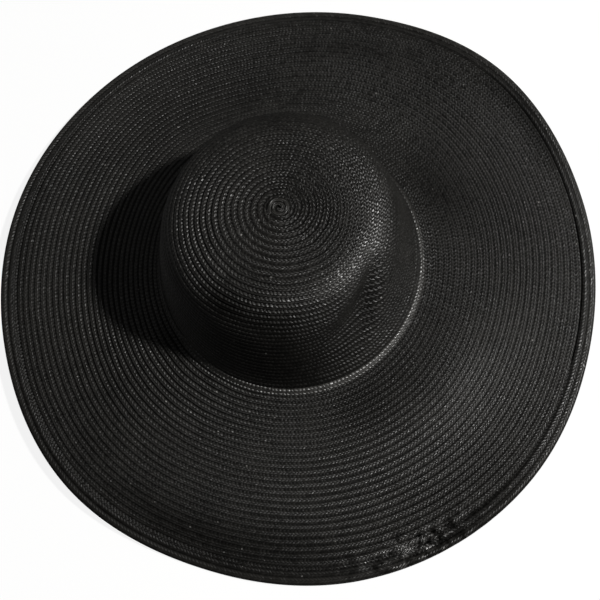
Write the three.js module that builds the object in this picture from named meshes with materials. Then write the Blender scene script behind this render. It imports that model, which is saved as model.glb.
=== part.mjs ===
// Floppy sun hat of sewn straw braid, lying crown up on the low lobes of its brim.
// Millimetres, +Z up, front towards -Y. Angles go round from +X, seen from above.
import * as THREE from 'three';

// Crown
const crownWidth = 180; // across its foot, side to side
const crownLength = 184; // across its foot, front to back
const crownHeight = 103; // from foot to tip
const crownWall = 1.6;

// Dent in the crown's shoulder, at the front right
const dentDepth = 10;
const dentAcross = 46;
const dentTurn = -41; // degrees round the crown
const dentRise = 62; // above the crown's foot

// Coil of braid on the tip
const coilWidth = 10;
const coilThickness = 1.8;

// Brim
const brimReach = 131; // from the crown's foot out to the rim, seen from above
const brimDrop = 47; // from the crown's foot down to the rim's lowest lobe
const brimWall = 1.5;
const lapWidth = 4.6; // the braid row that laps up outside the crown's foot

// Folded hem round the rim
const hemWidth = 8.5;
const hemWall = 1.1;

const clearance = 0.3; // between pieces that touch

// Sections of the crown. Each station's "out" is a share of the foot's radius there, its "up" of crownHeight.
const crownSections = [
  { turn: 0, capOut: 0.46, capUp: 0.88, browOut: 0.745, browUp: 0.64, waistOut: 0.88, waistUp: 0.3 },
  { turn: 45, capOut: 0.44, capUp: 0.87, browOut: 0.8, browUp: 0.69, waistOut: 0.925, waistUp: 0.34 },
  { turn: 90, capOut: 0.42, capUp: 0.86, browOut: 0.84, browUp: 0.68, waistOut: 0.95, waistUp: 0.35 },
  { turn: 135, capOut: 0.44, capUp: 0.88, browOut: 0.82, browUp: 0.72, waistOut: 0.93, waistUp: 0.37 },
  { turn: 180, capOut: 0.46, capUp: 0.92, browOut: 0.81, browUp: 0.74, waistOut: 0.93, waistUp: 0.38 },
  { turn: 225, capOut: 0.46, capUp: 0.95, browOut: 0.78, browUp: 0.79, waistOut: 0.89, waistUp: 0.42 },
  { turn: 270, capOut: 0.46, capUp: 0.97, browOut: 0.715, browUp: 0.78, waistOut: 0.845, waistUp: 0.45 },
  { turn: 315, capOut: 0.44, capUp: 0.94, browOut: 0.7, browUp: 0.74, waistOut: 0.84, waistUp: 0.38 },
];

// Folds of the brim. "out" is a share of brimReach. The "drop" at the rim, the "sag" at half way and the
// "kick" near the crown are shares of brimDrop.
const brimFolds = [
  { turn: 15, out: 0.994, drop: 0.88, sag: 0.1, kick: 0.065 },
  { turn: 45, out: 0.998, drop: 0.6, sag: 0.185, kick: 0.09 },
  { turn: 75, out: 0.983, drop: 0.85, sag: 0.17, kick: 0.075 },
  { turn: 105, out: 0.98, drop: 0.98, sag: 0.235, kick: 0.05 },
  { turn: 135, out: 0.985, drop: 0.93, sag: 0.095, kick: 0.04 },
  { turn: 165, out: 0.974, drop: 0.73, sag: 0.22, kick: 0.045 },
  { turn: 195, out: 0.966, drop: 0.7, sag: 0.24, kick: 0.025 },
  { turn: 225, out: 0.984, drop: 0.74, sag: 0.13, kick: 0.01 },
  { turn: 255, out: 0.953, drop: 1, sag: 0.13, kick: 0.025 },
  { turn: 285, out: 0.975, drop: 0.68, sag: 0.265, kick: 0.03 },
  { turn: 315, out: 0.985, drop: 0.62, sag: 0.225, kick: 0.035 },
  { turn: 345, out: 0.978, drop: 0.96, sag: 0.165, kick: 0.04 },
];

// Fineness of the facets
const turnSteps = 64;
const crownSteps = 12;
const brimSteps = 9;
const sectionSamples = 60;

const up = new THREE.Vector3(0, 0, 1);

// A column of a table of even turns, read at any angle as a smooth closed curve.
function around(table, column, angle) {
  const step = (2 * Math.PI) / table.length;
  const place = (angle - THREE.MathUtils.degToRad(table[0].turn)) / step;
  const first = Math.floor(place);
  const along = place - first;
  const read = (i) => table[THREE.MathUtils.euclideanModulo(first + i, table.length)][column];
  const [a, b, c, d] = [-1, 0, 1, 2].map(read);
  return b + 0.5 * along * (c - a + along * (2 * a - 5 * b + 4 * c - d + along * (3 * (b - c) + d - a)));
}

// The foot of the crown is an ellipse. Its point and its outward direction at an angle:
function footPoint(angle) {
  return new THREE.Vector3((crownWidth / 2) * Math.cos(angle), (crownLength / 2) * Math.sin(angle), 0);
}

function footOutward(angle) {
  return new THREE.Vector3(crownLength * Math.cos(angle), crownWidth * Math.sin(angle), 0).normalize();
}

// One section of the crown's wall, from tip to foot, as evenly spaced points along it.
function crownSection(angle) {
  const foot = footPoint(angle);
  const at = (out, rise) => foot.clone().multiplyScalar(out).setZ(rise * crownHeight);
  const read = (column) => around(crownSections, column, angle);
  const curve = new THREE.CatmullRomCurve3([
    at(0, 1),
    at(read('capOut'), read('capUp')),
    at(read('browOut'), read('browUp')),
    at(read('waistOut'), read('waistUp')),
    at(1, 0),
  ]);
  curve.arcLengthDivisions = sectionSamples;
  return curve;
}

// The dent presses the wall in towards the axis and down, fading with distance from its middle.
const dentAngle = THREE.MathUtils.degToRad(dentTurn);
const dentWay = new THREE.Vector3(-0.8 * Math.cos(dentAngle), -0.8 * Math.sin(dentAngle), -0.6);
const dentSection = crownSection(dentAngle).getSpacedPoints(sectionSamples);
const dentMiddle = dentSection.find((point) => point.z < dentRise);

function dented(point) {
  const distance = point.distanceTo(dentMiddle) / (dentAcross / 2);
  return point.addScaledVector(dentWay, dentDepth * Math.exp(-1.5 * distance * distance));
}

function crownForm(angle, share) {
  return dented(crownSection(angle).getPointAt(share));
}

// The brim's middle surface, which starts just outside the crown's foot.
const lapOffset = crownWall / 2 + clearance + brimWall / 2;

function brimForm(angle, share) {
  const read = (column) => around(brimFolds, column, angle);
  const out = lapOffset + brimReach * read('out') * share;
  const bow = read('sag') * Math.sin(Math.PI * share) + read('kick') * Math.sin(2 * Math.PI * share);
  const fall = brimDrop * (read('drop') * share + bow);
  return footPoint(angle).addScaledVector(footOutward(angle), out).setZ(-fall);
}

// A ring of points on a form at one share of its sections, lifted off it along the outward normal.
const angles = Array.from({ length: turnSteps }, (_, i) => (2 * Math.PI * i) / turnSteps);
const nudge = 0.001;

function outwardNormal(form, angle, share) {
  const along = form(angle, Math.min(share + nudge, 1)).sub(form(angle, Math.max(share - nudge, 0)));
  const round = form(angle + nudge, share).sub(form(angle - nudge, share));
  return along.cross(round).normalize();
}

function ring(form, share, lift) {
  return angles.map((angle) => form(angle, share).addScaledVector(outwardNormal(form, angle, share), lift));
}

function rings(form, shares, lift) {
  return shares.map((share) => ring(form, share, lift));
}

// A closed body through rings of points: between two poles, or round from the last ring to the first.
function body(ringList, poles) {
  const points = ringList.flat();
  const faces = [];
  const last = ringList.length - 1;
  const corner = (i, j) => i * turnSteps + (j % turnSteps);
  for (let i = 0; i < (poles ? last : ringList.length); i += 1) {
    const next = (i + 1) % ringList.length;
    for (let j = 0; j < turnSteps; j += 1) {
      faces.push(corner(i, j), corner(next, j), corner(next, j + 1));
      faces.push(corner(i, j), corner(next, j + 1), corner(i, j + 1));
    }
  }
  if (poles) {
    const [start, end] = [points.length, points.length + 1];
    points.push(...poles);
    for (let j = 0; j < turnSteps; j += 1) {
      faces.push(start, corner(0, j), corner(0, j + 1));
      faces.push(end, corner(last, j + 1), corner(last, j));
    }
  }
  const geometry = new THREE.BufferGeometry().setFromPoints(points);
  geometry.setIndex(faces);
  geometry.computeVertexNormals();
  return geometry;
}

// Even shares from start to end.
function shares(start, end, steps) {
  return Array.from({ length: steps + 1 }, (_, i) => start + ((end - start) * i) / steps);
}

// The crown's wall, flat where the coil sits and open at the foot.
function crownGeometry() {
  const wall = shares(1 / crownSteps, 1, crownSteps - 1);
  const seat = (lift) => angles.map((angle) => tipPoint(angle, coilWidth / 2, lift));
  const outside = [seat(crownWall / 2), ...rings(crownForm, wall, crownWall / 2)];
  const inside = [seat(-crownWall / 2), ...rings(crownForm, wall, -crownWall / 2)];
  const poles = [tipPoint(0, 0, crownWall / 2), tipPoint(0, 0, -crownWall / 2)];
  return body([...outside, ...inside.reverse()], poles);
}

function tipPoint(angle, radius, lift) {
  return new THREE.Vector3(radius * Math.cos(angle), radius * Math.sin(angle), crownHeight + lift);
}

// The coil is a round disc with a softened edge, just clear of the crown's flat.
function coilGeometry() {
  const low = crownHeight + crownWall / 2 + clearance;
  const high = low + coilThickness;
  const soft = coilThickness / 3;
  const radius = coilWidth / 2;
  const profile = [
    new THREE.Vector2(0, low),
    new THREE.Vector2(radius - soft, low),
    new THREE.Vector2(radius, low + soft),
    new THREE.Vector2(radius, high - soft),
    new THREE.Vector2(radius - soft, high),
    new THREE.Vector2(0, high),
  ];
  return new THREE.LatheGeometry(profile, turnSteps / 2).rotateX(Math.PI / 2);
}

// The brim's lap stands round the crown's foot, and the brim runs out from it to the rim.
function brimGeometry() {
  const steps = shares(0, 1, brimSteps);
  const lapShare = (angle) => 1 - lapWidth / crownSection(angle).getLength();
  const lap = (lift) => angles.map((angle) => {
    const share = lapShare(angle);
    return crownForm(angle, share).addScaledVector(outwardNormal(crownForm, angle, share), lapOffset + lift);
  });
  const top = [lap(brimWall / 2), ...rings(brimForm, steps, brimWall / 2)];
  const under = [lap(-brimWall / 2), ...rings(brimForm, steps, -brimWall / 2)];
  return body([...top, ...under.reverse()]);
}

// The hem folds over the rim: a channel in section, clear of the brim inside it.
function hemGeometry() {
  const inner = brimWall / 2 + clearance;
  const outer = inner + hemWall;
  const lip = 1 - hemWidth / brimReach;
  const flange = [lip, (1 + lip) / 2, 1];
  const nose = (beyond, lift) => angles.map((angle) => {
    const normal = outwardNormal(brimForm, angle, 1);
    const away = brimForm(angle, 1).sub(brimForm(angle, 1 - nudge)).normalize();
    return brimForm(angle, 1).addScaledVector(away, beyond).addScaledVector(normal, lift);
  });
  return body([
    ...rings(brimForm, flange, outer),
    nose(clearance + hemWall, outer / 2),
    nose(clearance + hemWall, -outer / 2),
    ...rings(brimForm, flange, -outer).reverse(),
    ...rings(brimForm, flange.slice(0, 2), -inner),
    nose(clearance, -inner),
    nose(clearance, inner),
    ...rings(brimForm, flange.slice(0, 2), inner).reverse(),
  ]);
}

function straw(roughness) {
  return new THREE.MeshStandardMaterial({ color: 0x1b1a19, roughness, metalness: 0 });
}

function piece(name, geometry, material) {
  const mesh = new THREE.Mesh(geometry, material);
  mesh.name = name;
  return mesh;
}

const hat = new THREE.Group();
hat.add(piece('crown', crownGeometry(), straw(0.45)));
hat.add(piece('crown_tip', coilGeometry(), straw(0.5)));
hat.add(piece('brim', brimGeometry(), straw(0.45)));
hat.add(piece('brim_hem', hemGeometry(), straw(0.4)));

// The hat stands on its lowest lobes with its middle over the origin.
const box = new THREE.Box3().setFromObject(hat);
const middle = box.getCenter(new THREE.Vector3());
hat.position.set(-middle.x, -middle.y, -box.min.z);

export default hat;
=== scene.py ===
import bmesh
import bpy
import math
from mathutils import Matrix, Vector, noise


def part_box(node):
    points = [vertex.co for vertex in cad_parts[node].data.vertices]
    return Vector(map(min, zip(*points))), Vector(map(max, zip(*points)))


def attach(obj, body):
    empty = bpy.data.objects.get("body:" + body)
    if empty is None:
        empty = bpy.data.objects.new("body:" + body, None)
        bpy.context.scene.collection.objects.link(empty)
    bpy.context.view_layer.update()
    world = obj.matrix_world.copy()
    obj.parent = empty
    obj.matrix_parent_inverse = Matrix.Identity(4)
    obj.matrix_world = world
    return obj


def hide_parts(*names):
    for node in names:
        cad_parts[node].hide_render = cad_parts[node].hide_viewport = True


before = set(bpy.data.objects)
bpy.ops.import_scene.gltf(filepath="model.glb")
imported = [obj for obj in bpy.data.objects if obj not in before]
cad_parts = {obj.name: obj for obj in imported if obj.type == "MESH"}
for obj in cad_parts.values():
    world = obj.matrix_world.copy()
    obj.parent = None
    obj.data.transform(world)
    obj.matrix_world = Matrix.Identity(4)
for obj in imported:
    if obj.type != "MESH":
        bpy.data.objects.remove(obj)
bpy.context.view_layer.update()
mm = 0.001

# The hat's sizes. The coil's place in the frame gives the crown's axis and the height of its foot.
crownSizes = {
    "width": 180 * mm,  # across the foot
    "length": 184 * mm,
    "height": 103 * mm,
    "wall": 1.6 * mm,
}
brimSizes = {
    "reach": 131 * mm,
    "drop": 47 * mm,
    "wall": 1.5 * mm,
    "lap": 4.6 * mm,  # how far its first row turns up outside the crown's foot
    "fillet": 6 * mm,
    "clearance": 0.3 * mm,
}
crownSections = [  # shares of the foot's radius and of the height, every 45 degrees from +X
    {"capOut": 0.46, "capUp": 0.91, "browOut": 0.74, "browUp": 0.67, "waistOut": 0.88, "waistUp": 0.3},
    {"capOut": 0.44, "capUp": 0.9, "browOut": 0.79, "browUp": 0.71, "waistOut": 0.925, "waistUp": 0.34},
    {"capOut": 0.42, "capUp": 0.89, "browOut": 0.83, "browUp": 0.7, "waistOut": 0.95, "waistUp": 0.35},
    {"capOut": 0.44, "capUp": 0.91, "browOut": 0.8, "browUp": 0.74, "waistOut": 0.93, "waistUp": 0.37},
    {"capOut": 0.46, "capUp": 0.94, "browOut": 0.79, "browUp": 0.76, "waistOut": 0.93, "waistUp": 0.38},
    {"capOut": 0.46, "capUp": 0.965, "browOut": 0.75, "browUp": 0.81, "waistOut": 0.88, "waistUp": 0.45},
    {"capOut": 0.46, "capUp": 0.98, "browOut": 0.66, "browUp": 0.825, "waistOut": 0.83, "waistUp": 0.48},
    {"capOut": 0.44, "capUp": 0.955, "browOut": 0.685, "browUp": 0.77, "waistOut": 0.84, "waistUp": 0.4},
]
brimFolds = [  # shares of the reach and of the drop, every 30 degrees from 15
    {"out": 0.994, "drop": 0.88, "sag": 0.1, "kick": 0.065},
    {"out": 0.998, "drop": 0.6, "sag": 0.185, "kick": 0.09},
    {"out": 0.983, "drop": 0.85, "sag": 0.17, "kick": 0.075},
    {"out": 0.98, "drop": 0.98, "sag": 0.235, "kick": 0.05},
    {"out": 0.985, "drop": 0.93, "sag": 0.095, "kick": 0.04},
    {"out": 0.974, "drop": 0.73, "sag": 0.22, "kick": 0.045},
    {"out": 0.966, "drop": 0.7, "sag": 0.24, "kick": 0.025},
    {"out": 0.984, "drop": 0.74, "sag": 0.13, "kick": 0.01},
    {"out": 0.953, "drop": 1, "sag": 0.13, "kick": 0.025},
    {"out": 0.975, "drop": 0.68, "sag": 0.265, "kick": 0.03},
    {"out": 0.985, "drop": 0.62, "sag": 0.225, "kick": 0.035},
    {"out": 0.978, "drop": 0.96, "sag": 0.165, "kick": 0.04},
]
foldStart = math.radians(15)

coilLow, coilHigh = (Vector(corner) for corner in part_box("crown_tip"))
footHeight = coilLow.z - brimSizes["clearance"] - crownSizes["wall"] / 2 - crownSizes["height"]
hatAxis = Vector(((coilLow.x + coilHigh.x) / 2, (coilLow.y + coilHigh.y) / 2, footHeight))


# The forms of crown and brim

def around(table, start, angle):  # every column of a table at an angle, as smooth closed curves
    place = (angle - start) / (2 * math.pi / len(table))
    first = math.floor(place)
    t = place - first
    rows = [table[(first + i) % len(table)] for i in (-1, 0, 1, 2)]
    weights = (
        0.5 * t * (-1 + t * (2 - t)),
        1 + 0.5 * t * t * (3 * t - 5),
        0.5 * t * (1 + t * (4 - 3 * t)),
        0.5 * t * t * (t - 1),
    )
    return {name: sum(w * row[name] for w, row in zip(weights, rows)) for name in table[0]}


def footPoint(angle):
    across, back = crownSizes["width"] / 2, crownSizes["length"] / 2
    return Vector((across * math.cos(angle), back * math.sin(angle), 0))


def footOutward(angle):
    across, back = crownSizes["width"], crownSizes["length"]
    return Vector((back * math.cos(angle), across * math.sin(angle), 0)).normalized()


def splineThrough(points, steps=24):  # centripetal Catmull-Rom, as fine points
    ends = [2 * points[0] - points[1], *points, 2 * points[-1] - points[-2]]
    fine = []
    for a, b, c, d in zip(ends, ends[1:], ends[2:], ends[3:]):
        before, here, after = (math.sqrt(max((q - p).length, 1e-6)) for p, q in ((a, b), (b, c), (c, d)))
        leave = ((b - a) / before - (c - a) / (before + here) + (c - b) / here) * here
        arrive = ((c - b) / here - (d - b) / (here + after) + (d - c) / after) * here
        for i in range(steps):
            t = i / steps
            fine.append(b + leave * t + (3 * (c - b) - 2 * leave - arrive) * t * t
                        + (2 * (b - c) + leave + arrive) * t ** 3)
    fine.append(points[-1].copy())
    return fine


def evenly(points, count):  # count + 1 points at even distances along a line of fine points
    run = [0.0]
    for p, q in zip(points, points[1:]):
        run.append(run[-1] + (q - p).length)
    even = []
    i = 0
    for k in range(count + 1):
        goal = run[-1] * k / count
        while i < len(points) - 2 and run[i + 1] < goal:
            i += 1
        even.append(points[i].lerp(points[i + 1], (goal - run[i]) / max(run[i + 1] - run[i], 1e-9)))
    return even


def crownSection(angle, count):  # from tip to foot
    foot = footPoint(angle)
    row = around(crownSections, 0, angle)
    stations = [(0, 1)] + [(row[s + "Out"], row[s + "Up"]) for s in ("cap", "brow", "waist")] + [(1, 0)]
    points = [foot * out + Vector((0, 0, crownSizes["height"] * up)) for out, up in stations]
    return evenly(splineThrough(points), count)


crownFold = {  # shares run from the tip to the foot
    "depth": 9.5 * mm,
    "turn": 338,  # degrees round the crown at the share slantFrom
    "slant": 87,  # degrees that it would turn back from tip to foot
    "slantFrom": 0.45,
    "middle": 0.62,
    "length": 0.17,
    "left": 24,  # how far it spreads to each side, in degrees
    "right": 7,
}


def folded(angle, count):  # the wall steps in at a slanting fold and comes out again slowly to its left
    moved = []
    for k, point in enumerate(crownSection(angle, count)):
        share = k / count
        onward = crownFold["slant"] * (share - crownFold["slantFrom"])
        beside = (math.degrees(angle) - crownFold["turn"] + onward + 180) % 360 - 180
        reach = crownFold["right"] if beside > 0 else crownFold["left"]
        along = (share - crownFold["middle"]) / crownFold["length"]
        amount = math.exp(-(beside / reach) ** 2 - along ** 2)
        moved.append(point - footOutward(angle) * (crownFold["depth"] * amount))
    return moved


lapOffset = crownSizes["wall"] / 2 + brimSizes["clearance"] + brimSizes["wall"] / 2


def brimSection(angle, count):  # up the lap's fillet, from the crown's foot to the rim
    row = around(brimFolds, foldStart, angle)
    foot, outward = footPoint(angle), footOutward(angle)

    def brimPoint(t):
        fall = row["drop"] * t + row["sag"] * math.sin(math.pi * t) + row["kick"] * math.sin(2 * math.pi * t)
        out = lapOffset + brimSizes["reach"] * row["out"] * t
        return foot + outward * out - Vector((0, 0, brimSizes["drop"] * fall))

    fillet = brimSizes["fillet"] / brimSizes["reach"]
    wallEnd = crownSection(angle, count=40)[-2:]
    wallWay = (wallEnd[0] - wallEnd[1]).normalized()
    wallOut = Vector((-outward.y, outward.x, 0)).cross(wallWay)
    top = foot + wallWay * brimSizes["lap"] + wallOut * lapOffset
    corner, leave = brimPoint(0), brimPoint(fillet)
    line = [top.lerp(corner, t).lerp(corner.lerp(leave, t), t) for t in (0, 0.25, 0.5, 0.75)]
    line += [brimPoint(fillet + (1 - fillet) * k / count) for k in range(count + 1)]
    return evenly(line, count)


# A form is held as a fine grid of points, read at any turn (0 to 1 round the hat) and share of its sections

def formGrid(section, turns, count):
    columns = [section(2 * math.pi * j / turns, count) for j in range(turns)]
    normals = []
    for j, column in enumerate(columns):
        before, after = columns[j - 1], columns[(j + 1) % turns]
        line = []
        for k in range(count + 1):
            along = column[min(k + 1, count)] - column[max(k - 1, 0)]
            line.append(along.cross(after[k] - before[k]))
        if line[0].length < 1e-12:
            line[0] = Vector((0, 0, 1))
        normals.append([n.normalized() for n in line])
    return {"points": columns, "normals": normals, "turns": turns, "count": count}


def onForm(form, turn, share, lift):
    x = (turn % 1) * form["turns"]
    y = min(max(share, 0), 1) * form["count"]
    j, k = int(x) % form["turns"], min(int(y), form["count"] - 1)
    s, t = x - int(x), y - k
    n = (j + 1) % form["turns"]
    points, normals = form["points"], form["normals"]
    point = points[j][k].lerp(points[n][k], s).lerp(points[j][k + 1].lerp(points[n][k + 1], s), t)
    normal = normals[j][k].lerp(normals[n][k], s)
    normal = normal.lerp(normals[j][k + 1].lerp(normals[n][k + 1], s), t)
    return point + normal.normalized() * lift


crownForm = formGrid(folded, turns=256, count=160)
brimForm = formGrid(brimSection, turns=384, count=90)
print("forms ready")


# Painted shade and painted highlights on the straw: darker where the hat lies in shade, lighter where light
# catches it. Each row is: degrees round the hat, share from the inside out, spread in degrees, spread in
# shares, factor.

crownPaintedShading = [
    (264, 0.74, 32, 0.24, 0.58),
    (268, 0.6, 22, 0.2, 0.66),
    (240, 0.43, 16, 0.06, 0.55),
    (275, 0.92, 20, 0.14, 0.62),
    (298, 0.75, 28, 0.23, 0.7),
    (322, 0.6, 10, 0.12, 0.7),
    (262, 0.46, 26, 0.06, 0.75),
    (316, 0.37, 20, 0.05, 1.75),
    (347, 0.43, 18, 0.06, 1.6),
    (226, 0.3, 14, 0.06, 1.15),
    (280, 0.36, 18, 0.04, 1.3),
    (10, 0.44, 20, 0.07, 1.15),
    (20, 0.12, 70, 0.2, 0.86),
    (115, 0.03, 80, 0.08, 0.74),
    (320, 0.08, 40, 0.15, 0.82),
    (215, 0.22, 34, 0.12, 1.15),
    (175, 0.7, 36, 0.3, 1.45),
    (103, 0.75, 38, 0.35, 0.74),
    (350, 0.98, 30, 0.04, 1.35),
]
brimPaintedShading = [
    (325, 0.015, 60, 0.02, 2.6),
    (350, 0.15, 50, 0.12, 0.8),
    (27, 0.27, 18, 0.15, 0.75),
    (22, 0.45, 36, 0.4, 0.82),
    (33, 0.92, 16, 0.09, 0.6),
    (113, 0.52, 24, 0.28, 0.84),
    (80, 0.75, 16, 0.08, 0.85),
    (175, 0.92, 30, 0.08, 0.7),
    (248, 0.85, 22, 0.12, 0.55),
    (228, 0.99, 38, 0.05, 0.6),
    (308, 0.98, 12, 0.06, 0.66),
    (291, 0.93, 6, 0.06, 1.3),
    (216, 0.1, 8, 0.07, 0.65),
    (302, 0.2, 16, 0.12, 0.82),
    (316, 0.52, 30, 0.2, 1.4),
    (327, 0.45, 9, 0.1, 1.15),
    (342, 0.75, 28, 0.28, 1.25),
    (245, 0.2, 36, 0.22, 1.2),
    (272, 0.65, 20, 0.25, 1.12),
    (100, 0.28, 34, 0.1, 1.2),
    (95, 0.06, 20, 0.07, 0.8),
    (135, 0.85, 24, 0.14, 1.12),
    (164, 0.62, 30, 0.18, 0.85),
]

# Sewn rows: a line of section points is spun flat round the axis, one unit wide a row, then laid on its form

sewing = {
    "plait": 2.7 * mm,  # one crossing of the plait to the next, along a row
    "row": [  # place in the row, mm up
        (0.0, -0.8), (0.13, 0.0), (0.27, 0.7), (0.4, 0.7), (0.5, 0.45), (0.61, 0.72), (0.78, 0.56)],
    "underRow": [(0.0, -0.1), (0.5, 0.3)],
    "parting": 0.7 * mm,  # how much deeper the groove along a row's middle gets to one side
    "partingTurn": math.radians(340),
    "wander": 0.12,  # how far a row strays, in rows
    "wanderSize": 5.0,  # the greater, the shorter its waves
    "wanderRows": 9,  # the greater, the more alike neighbouring rows stray
    "fadeRows": 1.5,  # rows over which the ridges flatten toward the rim
    "firstRows": 1.4,  # rows that firstRise lifts
    "footRows": 1.6,  # rows over which footRise grows
    "flatRadius": 2,  # of the flat spin's inner edge, in rows
    "weld": 0.02 * mm,
}
roughPatch = {
    "height": 5 * mm,
    "turn": 295,  # degrees round the hat
    "spread": 11,
    "middle": 0.94,  # shares from the inside out
    "depth": 0.075,
    "waves": (210, 26),  # the greater, the shorter: round the hat and outward
    "seed": 2.5,
}


def spinFlat(stations, steps, closed):
    flat = bmesh.new()
    for layer in ("tone", "crumple", "parting"):
        flat.verts.layers.float.new(layer)
    line = [flat.verts.new((sewing["flatRadius"] + place, 0, lift)) for place, lift in stations]
    pairs = list(zip(line, line[1:])) + ([(line[-1], line[0])] if closed else [])
    edges = [flat.edges.new(pair) for pair in pairs]
    spun = bmesh.ops.spin(flat, geom=line + edges, cent=(0, 0, 0), axis=(0, 0, 1), angle=2 * math.pi,
                          steps=steps, use_merge=False)
    last = {v for v in spun["geom_last"] if isinstance(v, bmesh.types.BMVert)}
    return flat, last


def readFlat(vert, last):
    turn = 1.0 if vert in last else (math.atan2(vert.co.y, vert.co.x) / (2 * math.pi)) % 1
    return turn, math.hypot(vert.co.x, vert.co.y) - sewing["flatRadius"]


def newPiece(name, mesh, material, slotName, *nodes):
    bmesh.ops.remove_doubles(mesh, verts=mesh.verts, dist=sewing["weld"])
    bmesh.ops.dissolve_degenerate(mesh, edges=mesh.edges, dist=sewing["weld"])
    if mesh.calc_volume(signed=True) < 0:
        bmesh.ops.reverse_faces(mesh, faces=mesh.faces)
    data = bpy.data.meshes.new(name)
    mesh.to_mesh(data)
    mesh.free()
    for polygon in data.polygons:
        polygon.use_smooth = True
    data.materials.append(material)
    thing = bpy.data.objects.new(name, data)
    bpy.context.scene.collection.objects.link(thing)
    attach(thing, "root")
    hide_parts(*nodes)
    print(name, len(data.polygons), "faces")


# painted shade and painted highlights, read from the tables above
def paintedShadingAt(paintedShading, turn, share):  # lighter and darker places of the straw, each fading out round its middle
    tone = 1
    for middle, place, spread, depth, factor in paintedShading:
        beside = ((turn * 360 - middle + 180) % 360 - 180) / spread
        tone *= 1 + (factor - 1) * math.exp(-beside * beside - ((share - place) / depth) ** 2)
    return tone


def crumpled(piece, turn, share):  # how much and how high: a rough patch by the rim, as if once trodden on
    beside = (turn * 360 - roughPatch["turn"]) / roughPatch["spread"]
    inward = (share - roughPatch["middle"]) / roughPatch["depth"]
    amount = math.exp(-beside * beside - inward * inward) if piece["trodden"] else 0
    wavesRound, wavesOut = roughPatch["waves"]
    wave = noise.noise(Vector((turn * wavesRound, share * wavesOut, roughPatch["seed"])))
    return amount, amount * roughPatch["height"] * wave


def partedAt(angle):  # how deep the groove along a row's middle is, 0 to 1
    return 0.5 + 0.5 * math.cos(angle - sewing["partingTurn"])


def rowStations(rows, half):  # places and lifts of all rows' sections, over the top and back below
    top = [(r + p, half + h * mm) for r in range(-1, rows) for p, h in sewing["row"]]
    under = [(r + p, -half - h * mm) for r in range(-1, rows) for p, h in sewing["underRow"]]
    line = top + [(rows, half), (rows, -half)] + under[::-1]
    return [(place + 1, lift) for place, lift in line]


def markRows(mesh, last, piece):  # the "rows" map: crossings of the plait along a row, and rows outward
    rows, form = piece["rows"], piece["form"]
    layer = mesh.loops.layers.uv.new("rows")
    runs = [0.0]
    for r in range(rows + 2):
        sides = [onForm(form, turn, min(r / rows, 1), 0).xy.length for turn in (0, 0.25, 0.5, 0.75)]
        runs.append(runs[-1] + 2 * math.pi * sum(sides) / 4)
    for face in mesh.faces:
        places = [readFlat(loop.vert, last) for loop in face.loops]
        row = min(int(sum(place for _, place in places) / len(places)), rows)
        start, end = runs[row], runs[row + 1]
        for loop, (turn, place) in zip(face.loops, places):
            loop[layer].uv = ((start + (end - start) * turn) / sewing["plait"], place)


def rowLift(piece, angle, place, lift):  # a section point's height on the form, at its place among the rows
    rows, half = piece["rows"], piece["wall"] / 2
    if place <= 0 or place >= rows:
        lift = half if lift > 0 else -half
        if place <= 0 and piece["closed"]:  # the first row rises from the crown's wall as a thin edge
            lift = -half - piece["footGap"]
    flatten = min(1, max(0, rows - piece["flatRows"] - place) / sewing["fadeRows"])
    flatten *= 1 + piece["boldness"] * math.cos(angle - piece["boldTurn"])
    if place > 0:
        lift = math.copysign(half + (abs(lift) - half) * flatten, lift)
    if 0 < place < sewing["firstRows"] and lift > 0:
        lift += piece["firstRise"] * math.sin(math.pi * place / sewing["firstRows"])
    if lift > 0:
        lift += piece["footRise"] * min(1, max(0, (place - rows) / sewing["footRows"] + 2))
    return lift


def layRows(piece):
    rows = piece["rows"]
    mesh, last = spinFlat(rowStations(rows, piece["wall"] / 2), piece["steps"], piece["closed"])
    markRows(mesh, last, piece)
    shade, creased, parted = (mesh.verts.layers.float[name] for name in ("tone", "crumple", "parting"))
    for vert in mesh.verts:
        turn, place = readFlat(vert, last)
        angle = 2 * math.pi * turn
        lift = vert.co.z
        if lift > 0 and abs(place % 1 - 0.5) < 0.05:  # the groove along a row's middle
            lift -= sewing["parting"] * partedAt(angle)
        place += turn - 1  # a spiral: each turn moves out by one row
        lift = rowLift(piece, angle, place, lift)
        ends = min(1, max(0, place), max(0, rows - place))
        circle = Vector((math.cos(angle), math.sin(angle), place / sewing["wanderRows"]))
        stray = noise.noise(circle * sewing["wanderSize"])
        share = min(max((place + sewing["wander"] * ends * stray) / rows, 0), 1)
        share += piece["gather"] * math.cos(angle - piece["gatherTurn"]) * math.sin(math.pi * share)
        vert[creased], rise = crumpled(piece, turn, share)
        vert.co = onForm(piece["form"], turn, share, lift + rise) + hatAxis
        # the tone layer holds the painted shade and painted highlights
        vert[shade] = paintedShadingAt(piece["paintedShading"], turn, share)
        vert[parted] = partedAt(angle)
    return mesh


# The hem: a channel of two rows folded over the rim, laid from a section of (in from the rim, lift)

hemSection = {
    "around": [  # mm, from the lip over the rim and back below
        (9.7, 0.4), (9.1, 1.1), (8.2, 1.75), (6.8, 2.1), (5.5, 2.0), (4.75, 1.5), (4.4, 1.25), (4.05, 1.55),
        (3.3, 2.1), (2.2, 2.4), (1.0, 2.35), (0, 2.05), (-0.75, 1.5), (-1.2, 0.8), (-1.4, 0), (-1.2, -0.8),
        (-0.75, -1.45), (0, -1.85), (2.2, -2.15), (4.3, -1.6), (6.4, -2.1), (8.2, -1.6), (8.5, -1.05),
        (4.2, -1.0), (0.3, -0.95), (-0.2, 0), (0.3, 0.95), (4.2, 0.95)],
    "steps": 384,
    "rowWidth": 4.2,  # mm
    "trodden": True,
    "paintedShading": brimPaintedShading,
}


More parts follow.
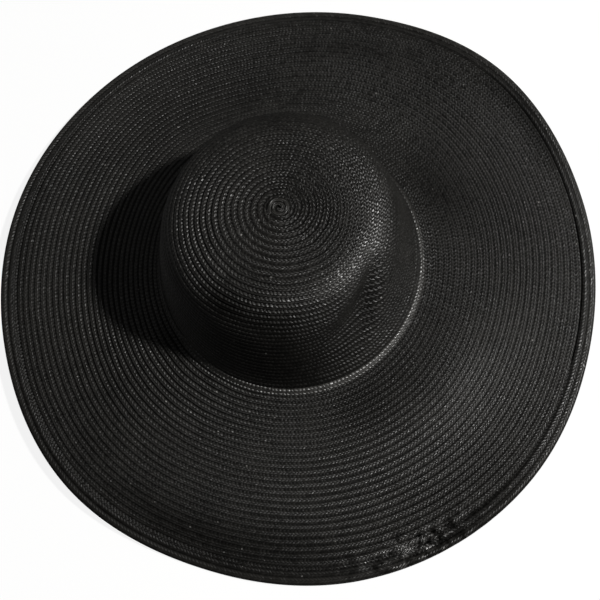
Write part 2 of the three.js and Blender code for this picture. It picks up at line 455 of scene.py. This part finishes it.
def layHem(piece):
    mesh, last = spinFlat([(inward, lift * mm) for inward, lift in piece["around"]], piece["steps"], True)
    layer = mesh.loops.layers.uv.new("rows")
    rimRun = 2 * math.pi * (crownSizes["width"] / 2 + brimSizes["reach"]) / sewing["plait"]
    for face in mesh.faces:
        for loop in face.loops:
            turn, inward = readFlat(loop.vert, last)
            loop[layer].uv = (turn * rimRun, inward / piece["rowWidth"])
    count = brimForm["count"]
    shade, creased, parted = (mesh.verts.layers.float[name] for name in ("tone", "crumple", "parting"))
    for vert in mesh.verts:
        turn, inward = readFlat(vert, last)
        lastStep = onForm(brimForm, turn, 1, 0) - onForm(brimForm, turn, 1 - 1 / count, 0)
        share = 1 - max(inward, 0) * mm / (lastStep.length * count)
        beyond = lastStep.normalized() * max(-inward, 0) * mm
        vert[creased], rise = crumpled(piece, turn, share)
        vert.co = onForm(brimForm, turn, share, vert.co.z + rise) + beyond + hatAxis
        # the tone layer holds the painted shade and painted highlights
        vert[shade] = paintedShadingAt(piece["paintedShading"], turn, share)
        vert[parted] = partedAt(2 * math.pi * turn)
    return mesh


# The coil: the plait's end wound flat on the tip, round a small hole

coilLook = {  # lengths in mm
    "turns": 1.6,
    "steps": 64,  # a turn
    "width": 2.6,
    "hole": 0.9,
    "height": 1.5,
    "sunk": 0.4,
    "tipCurve": 0.0015,  # how fast the tip falls away from its middle
    "crossings": 4,  # of the plait, a turn
    "flatRadius": 100,  # of the flat spin that is wound up
    "flatSweep": 0.9,  # of a full turn
}


def layCoil(piece):
    half, turns, sweep = piece["width"] / 2, piece["turns"], piece["flatSweep"]
    section = [(-half, 0), (-half, 0.6), (-0.6 * half, 0.95), (0, 1)]
    section += [(-x, z) for x, z in section[2::-1]]
    mesh = bmesh.new()
    shade = mesh.verts.layers.float.new("tone")
    line = [mesh.verts.new((piece["flatRadius"] + x, 0, z)) for x, z in section]
    edges = [mesh.edges.new(pair) for pair in zip(line, line[1:] + line[:1])]
    bmesh.ops.spin(mesh, geom=line + edges, cent=(0, 0, 0), axis=(0, 0, 1), angle=2 * math.pi * sweep,
                   steps=int(piece["steps"] * turns), use_merge=False)
    bmesh.ops.holes_fill(mesh, edges=[e for e in mesh.edges if e.is_boundary])
    layer = mesh.loops.layers.uv.new("rows")

    def windOn(vert):  # the flat spin's part of a turn stands for all the coil's turns
        share = (math.atan2(vert.co.y, vert.co.x) / (2 * math.pi) % 1) / sweep
        share = 0 if share > 1.05 else min(share, 1)
        return share, math.hypot(vert.co.x, vert.co.y) - piece["flatRadius"]

    for face in mesh.faces:
        for loop in face.loops:
            share, side = windOn(loop.vert)
            loop[layer].uv = (share * turns * piece["crossings"], side / piece["width"] + 0.5)
    for vert in mesh.verts:
        share, side = windOn(vert)
        angle = share * turns * 2 * math.pi
        out = piece["hole"] + half + piece["width"] * share * turns + side
        top = -piece["sunk"] - piece["tipCurve"] * out * out + vert.co.z * piece["height"]
        vert.co = Vector((out * math.cos(angle), out * math.sin(angle), top)) * mm + hatAxis
        vert.co.z += crownSizes["height"] + crownSizes["wall"] / 2
        vert[shade] = 1
    return mesh


# Materials

def shaderNode(tree, kind, **settings):
    node = tree.nodes.new(kind)
    for name, value in settings.items():
        setattr(node, name, value)
    return node


def maths(tree, operation, *inputs):
    node = shaderNode(tree, "ShaderNodeMath", operation=operation)
    for socket, value in zip(node.inputs, inputs):
        if isinstance(value, (int, float)):
            socket.default_value = value
        else:
            tree.links.new(value, socket)
    return node.outputs[0]


def noiseOf(tree, vector, scale, detail):
    node = shaderNode(tree, "ShaderNodeTexNoise")
    node.inputs["Scale"].default_value = scale
    node.inputs["Detail"].default_value = detail
    tree.links.new(vector, node.inputs["Vector"])
    return node.outputs[0]


def attributeOf(tree, name):
    return shaderNode(tree, "ShaderNodeAttribute", attribute_name=name).outputs["Fac"]


def sumOf(tree, *terms):  # each term is a socket and its factor
    total = None
    for socket, factor in terms:
        scaled = maths(tree, "MULTIPLY", socket, factor)
        total = scaled if total is None else maths(tree, "ADD", total, scaled)
    return total


def mixOf(tree, amount, first, second):  # two colours, each a value or a socket
    node = shaderNode(tree, "ShaderNodeMix", data_type="RGBA")
    tree.links.new(amount, node.inputs[0])
    for socket, colour in ((node.inputs[6], first), (node.inputs[7], second)):
        if isinstance(colour, tuple):
            socket.default_value = colour
        else:
            tree.links.new(colour, socket)
    return node.outputs[2]


strawLook = {
    "dark": (0.0073, 0.007, 0.0065, 1),
    "light": (0.028, 0.0267, 0.024, 1),
    "strandTone": 0.55,  # how far each of these makes the straw lighter
    "cloudTone": 0.9,
    # painted shade down in the grooves
    "paintedGrooveShade": -0.7,
    "startRowsTone": 0.3,
    "lighterStartRows": 1,  # how many rows are made lighter, from the start of the rows map
    "cloudScale": 30,
    # pale specks, partly lint and partly painted glints
    "lintAndGlints": (0.2, 0.195, 0.185, 1),
    "lintAndGlintScale": 70,
    "lintAndGlintSize": 0.045,
    "roughness": (0.32, 0.56),
    "specular": 0.6,
    "grooveGlossShade": 0.8,  # painted shade on the gloss down in the grooves
    "crossing": 0.3 * mm,  # height of a strand over the next
    "unevenness": 0.2 * mm,  # how much higher one strand lies than another
    "grain": 0.2 * mm,
    "grainScale": 620,
    "lean": 1.5,  # crossings that a strand passes while it crosses its row
    "sway": 1.1,  # how far the crossings stray along a row
    "swayScale": 210,
    "edgePower": 3.0,  # how narrow the groove between two rows is
    "middleSlope": 6.0,  # how narrow the groove along a row's middle is
    "creases": 3 * mm,  # height of the fine creases in the rough patch
    "creaseScale": 190,
    # the creases' painted shade and painted light: how strong, and the darkest it gets
    "creaseShadeStrength": 6.0,
    "darkestCreaseShade": 0.15,
}


def plaitOf(tree, place, rows, look):  # crossings, chance of each strand, distance from the row's middle
    sway = maths(tree, "SUBTRACT", noiseOf(tree, place, look["swayScale"], 2), 0.5)
    along = maths(tree, "ADD", rows.outputs[0], maths(tree, "MULTIPLY", sway, look["sway"]))
    inRow = maths(tree, "FRACT", rows.outputs[1])
    outerHalf = maths(tree, "GREATER_THAN", inRow, 0.5)  # a row's two halves lean toward each other
    offMiddle = maths(tree, "ABSOLUTE", maths(tree, "SUBTRACT", inRow, 0.5))
    along = maths(tree, "ADD", along, maths(tree, "MULTIPLY", offMiddle, look["lean"]))
    along = maths(tree, "ADD", along, maths(tree, "MULTIPLY", outerHalf, 0.5))
    weave = maths(tree, "ABSOLUTE", maths(tree, "SINE", maths(tree, "MULTIPLY", along, math.pi)))
    strandPlace = shaderNode(tree, "ShaderNodeCombineXYZ")
    rowNumber = maths(tree, "FLOOR", rows.outputs[1])
    for source, socket in zip((maths(tree, "FLOOR", along), rowNumber, outerHalf), strandPlace.inputs):
        tree.links.new(source, socket)
    chance = shaderNode(tree, "ShaderNodeTexWhiteNoise", noise_dimensions="3D")
    tree.links.new(strandPlace.outputs[0], chance.inputs["Vector"])
    return weave, chance.outputs["Value"], offMiddle


def grooveOf(tree, offMiddle, look):  # how deep in a groove: between two rows, or along a row's middle
    between = maths(tree, "POWER", maths(tree, "MULTIPLY", offMiddle, 2.0), look["edgePower"])
    middle = maths(tree, "SUBTRACT", 1.0, maths(tree, "MULTIPLY", offMiddle, look["middleSlope"]))
    return maths(tree, "MAXIMUM", between, maths(tree, "MULTIPLY", middle, attributeOf(tree, "parting")))


def makeStraw(name, look):
    material = bpy.data.materials.new(name)
    material.use_nodes = True
    tree = material.node_tree
    shader = tree.nodes["Principled BSDF"]
    place = shaderNode(tree, "ShaderNodeTexCoord").outputs["Object"]
    rows = shaderNode(tree, "ShaderNodeSeparateXYZ")
    tree.links.new(shaderNode(tree, "ShaderNodeUVMap", uv_map="rows").outputs[0], rows.inputs[0])
    weave, chance, offMiddle = plaitOf(tree, place, rows, look)
    groove = grooveOf(tree, offMiddle, look)
    strand = maths(tree, "MULTIPLY", chance, weave)
    creases = maths(tree, "SUBTRACT", noiseOf(tree, place, look["creaseScale"], 2), 0.5)
    creases = maths(tree, "MULTIPLY", attributeOf(tree, "crumple"), creases)

    paintedCreaseShade = maths(tree, "ADD", maths(tree, "MULTIPLY", creases, look["creaseShadeStrength"]), 1.0)
    paintedCreaseShade = maths(tree, "MAXIMUM", paintedCreaseShade, look["darkestCreaseShade"])  # painted shade in the rough patch's pits and painted light on its raised bits
    # shade: the tone layer's painted shade and painted highlights, times the painted shading of the rough
    # patch
    shade = maths(tree, "MULTIPLY", attributeOf(tree, "tone"), paintedCreaseShade)

    grain = noiseOf(tree, place, look["grainScale"], 3)
    height = sumOf(tree, (weave, look["crossing"]), (strand, look["unevenness"]), (grain, look["grain"]),
                   (creases, look["creases"]))
    bump = shaderNode(tree, "ShaderNodeBump")
    bump.inputs["Distance"].default_value = 1.0
    tree.links.new(height, bump.inputs["Height"])
    tree.links.new(maths(tree, "MINIMUM", shade, 1.0), bump.inputs["Strength"])
    tree.links.new(bump.outputs[0], shader.inputs["Normal"])

    cloud = noiseOf(tree, place, look["cloudScale"], 5)
    # the first rows of the rows map are made lighter
    lighterStart = maths(tree, "LESS_THAN", rows.outputs[1], look["lighterStartRows"])
    # the tone: random strands and clouds, painted shade in the grooves, and lighter first rows
    tone = sumOf(tree, (strand, look["strandTone"]), (cloud, look["cloudTone"]),
                 (groove, look["paintedGrooveShade"]), (lighterStart, look["startRowsTone"]))
    # pale specks: lint and painted glints
    spots = shaderNode(tree, "ShaderNodeTexVoronoi")
    spots.inputs["Scale"].default_value = look["lintAndGlintScale"]
    tree.links.new(place, spots.inputs["Vector"])
    lintAndGlints = maths(tree, "LESS_THAN", spots.outputs["Distance"], look["lintAndGlintSize"])
    colour = mixOf(tree, lintAndGlints, mixOf(tree, tone, look["dark"], look["light"]), look["lintAndGlints"])
    # the straw's colour is darkened and lightened by the painted shade and painted highlights
    shaded = shaderNode(tree, "ShaderNodeVectorMath", operation="SCALE")
    tree.links.new(colour, shaded.inputs[0])
    tree.links.new(shade, shaded.inputs["Scale"])
    tree.links.new(shaded.outputs[0], shader.inputs["Base Color"])

    # The gloss carries painted highlights and painted shade: it grows with the painted shade layer squared
    # and is cut down in the grooves.
    glossLeftInGrooves = maths(tree, "SUBTRACT", 1.0, maths(tree, "MULTIPLY", groove, look["grooveGlossShade"]))
    glossWithPaintedLight = maths(tree, "MULTIPLY", maths(tree, "POWER", shade, 2.0), glossLeftInGrooves)
    tree.links.new(maths(tree, "MULTIPLY", glossWithPaintedLight, look["specular"]), shader.inputs["Specular IOR Level"])
    gloss = shaderNode(tree, "ShaderNodeMapRange")
    gloss.inputs["To Min"].default_value, gloss.inputs["To Max"].default_value = look["roughness"]
    tree.links.new(chance, gloss.inputs["Value"])
    tree.links.new(gloss.outputs[0], shader.inputs["Roughness"])
    return material


straw = makeStraw("blackStraw", strawLook)
brimStraw = makeStraw("brimStraw", {**strawLook, "lighterStartRows": 2})
hemStraw = makeStraw("hemStraw", {**strawLook, "crossing": 0.2 * mm})


# Pieces

crownRows = {
    "form": crownForm,
    "rows": 37,
    "steps": 256,
    "wall": crownSizes["wall"],
    "closed": False,
    "paintedShading": crownPaintedShading,
    "gather": 0.03,  # how far the middle rows shift outward on one side, as a share
    "gatherTurn": math.radians(45),
    "boldness": 0.35,  # how much higher the ridges stand on one side, as a share
    "boldTurn": math.radians(255),
    "flatRows": 1,  # rows without ridges at the outer end
    "footGap": 0,
    "firstRise": 0,
    "footRise": 1.3 * mm,  # how much further out the last rows stand
    "trodden": False,
}
newPiece("crownRows", layRows(crownRows), straw, "crown_straw", "crown")

brimRows = {
    "form": brimForm,
    "rows": 30,
    "steps": 336,
    "wall": brimSizes["wall"],
    "closed": True,
    "paintedShading": brimPaintedShading,
    "gather": 0.02,
    "gatherTurn": math.radians(120),
    "boldness": 0.75,
    "boldTurn": math.radians(240),
    "flatRows": 1.9,
    "footGap": 0.28 * mm,  # how far under the sheet the first row starts
    "firstRise": 0.7 * mm,  # how much higher the first row stands
    "footRise": 0,
    "trodden": True,
}
newPiece("brimRows", layRows(brimRows), brimStraw, "brim_straw", "brim")
newPiece("hemRows", layHem(hemSection), hemStraw, "hem_straw", "brim_hem")
newPiece("tipCoil", layCoil(coilLook), straw, "crown_straw", "crown_tip")


# Stage, light and camera

stage = {
    "floorReach": 6,
    "floorColour": (0.2, 0.2, 0.2, 1),
    "floorGlow": 0.87,
    "sky": 0.05,
    "lampDistance": 2.6,
    "lampColour": (1, 0.99, 0.97),
}
lamps = {  # degrees round the hat and above the floor, metres across, watts
    "key": {"azimuth": -6, "elevation": 55, "size": 0.16, "watts": 50},
    "fill": {"azimuth": 150, "elevation": 40, "size": 1.6, "watts": 2},
}


def makeFloor():
    mesh = bmesh.new()
    bmesh.ops.create_grid(mesh, x_segments=1, y_segments=1, size=stage["floorReach"])
    data = bpy.data.meshes.new("floor")
    mesh.to_mesh(data)
    mesh.free()
    floor = bpy.data.objects.new("floor", data)
    bpy.context.scene.collection.objects.link(floor)
    pale = bpy.data.materials.new("paleFloor")
    pale.use_nodes = True
    tree = pale.node_tree
    shader = tree.nodes["Principled BSDF"]
    shader.inputs["Base Color"].default_value = stage["floorColour"]
    shader.inputs["Roughness"].default_value = 0.9
    shader.inputs["Specular IOR Level"].default_value = 0
    shader.inputs["Emission Color"].default_value = (1, 1, 1, 1)
    seen = shaderNode(tree, "ShaderNodeLightPath").outputs["Is Camera Ray"]  # no glow on the hat
    tree.links.new(maths(tree, "MULTIPLY", seen, stage["floorGlow"]), shader.inputs["Emission Strength"])
    data.materials.append(pale)


def makeLamp(name, look):
    lamp = bpy.data.lights.new(name, "AREA")
    lamp.shape = "DISK"
    lamp.size = look["size"]
    lamp.energy = look["watts"]
    lamp.color = stage["lampColour"]
    holder = bpy.data.objects.new(name, lamp)
    bpy.context.scene.collection.objects.link(holder)
    a, e = math.radians(look["azimuth"]), math.radians(look["elevation"])
    way = Vector((math.cos(a) * math.cos(e), math.sin(a) * math.cos(e), math.sin(e)))
    holder.location = hatAxis + way * stage["lampDistance"]
    holder.rotation_euler = (-way).to_track_quat("-Z", "Y").to_euler()


def makeSky():
    world = bpy.data.worlds.new("studio")
    world.use_nodes = True
    background = world.node_tree.nodes["Background"]
    background.inputs["Color"].default_value = (1, 1, 1, 1)
    background.inputs["Strength"].default_value = stage["sky"]
    bpy.context.scene.world = world


def makeCamera(view):
    lens = bpy.data.cameras.new("camera")
    lens.sensor_width = 36
    lens.lens = view["focalPixels"] * lens.sensor_width / view["imageWidth"]
    lens.clip_start = 0.01
    camera = bpy.data.objects.new("camera", lens)
    bpy.context.scene.collection.objects.link(camera)
    e, t = view["elevation"], view["sideways"]
    back = Vector((math.sin(t), -math.cos(e) * math.cos(t), math.sin(e) * math.cos(t)))
    upward = Vector((0, math.sin(e), math.cos(e)))
    right = upward.cross(back)
    turned = Matrix((right, upward, back)).transposed().to_4x4()
    camera.matrix_world = Matrix.Translation(hatAxis + view["aim"] + back * view["distance"]) @ turned
    bpy.context.scene.camera = camera


makeFloor()
for name, look in lamps.items():
    makeLamp(name, look)
makeSky()
bpy.context.scene.view_settings.view_transform = "Standard"
makeCamera({
    "imageWidth": 600,
    "focalPixels": 946.4,
    "distance": 660 * mm,
    "elevation": math.radians(75),
    "sideways": math.radians(3.4),
    "aim": Vector((7.06, -29.2, 0)) * mm,
})
print("stage ready")
